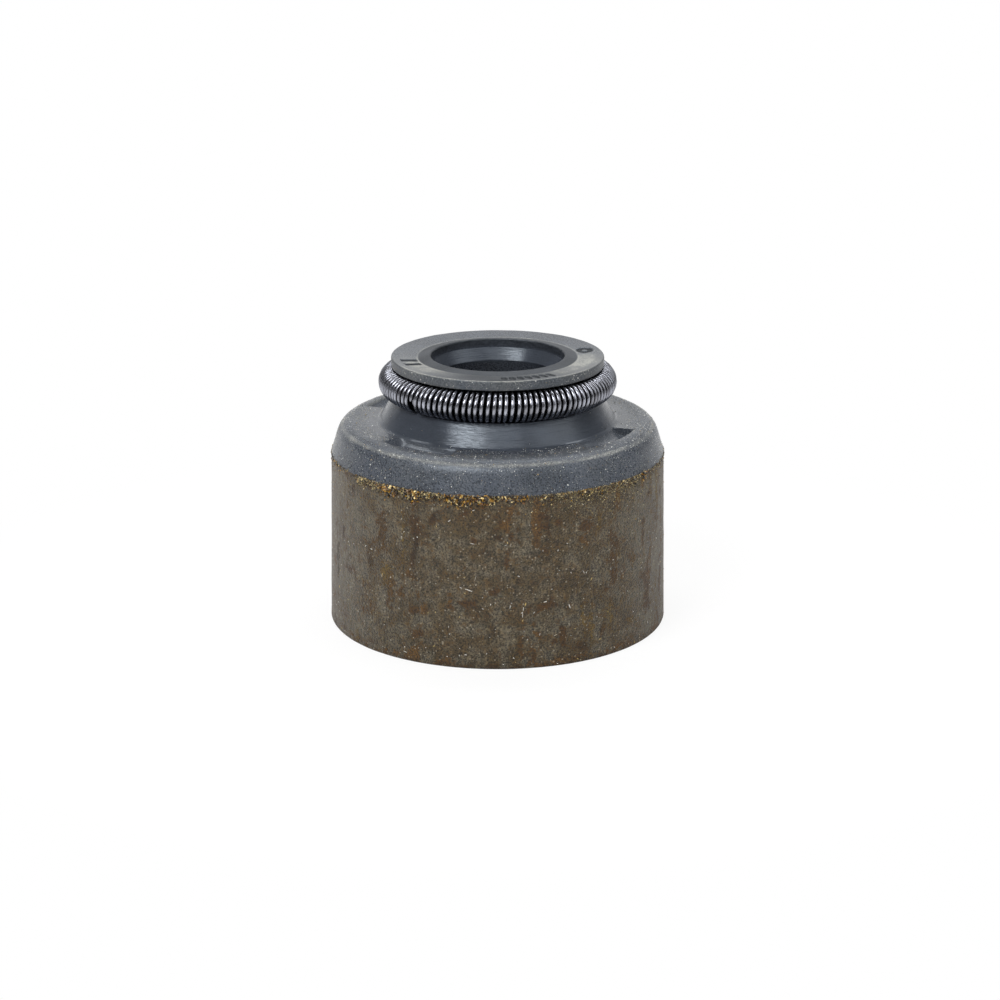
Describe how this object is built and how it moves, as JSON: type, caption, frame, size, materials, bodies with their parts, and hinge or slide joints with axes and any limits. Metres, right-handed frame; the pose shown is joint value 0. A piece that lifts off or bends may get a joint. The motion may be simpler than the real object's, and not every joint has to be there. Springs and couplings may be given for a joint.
{
  "type": "valve stem seal",
  "caption": "Valve stem seal: rusted steel sleeve, moulded grey rubber body with a sealing lip, and a garter spring round its neck.",
  "frame": {"origin": "middle of the open rim of the steel sleeve, on the plane that the seal stands on", "axes": "+Z along the seal's axis, from the open rim towards the sealing lip; -Y is the front of the seal"},
  "size_m": [0.0164, 0.0164, 0.013],
  "materials": {
    "steel": "dull, stained, with rust at the rubber's edge",
    "rubber": "moulded, satin on the neck and dusty on the ledge",
    "spring_steel": "bright drawn wire"
  },
  "bodies": {
    "root": {"steel_sleeve": "steel", "rubber_body": "rubber", "garter_spring": "spring_steel"}
  },
  "joints": []
}
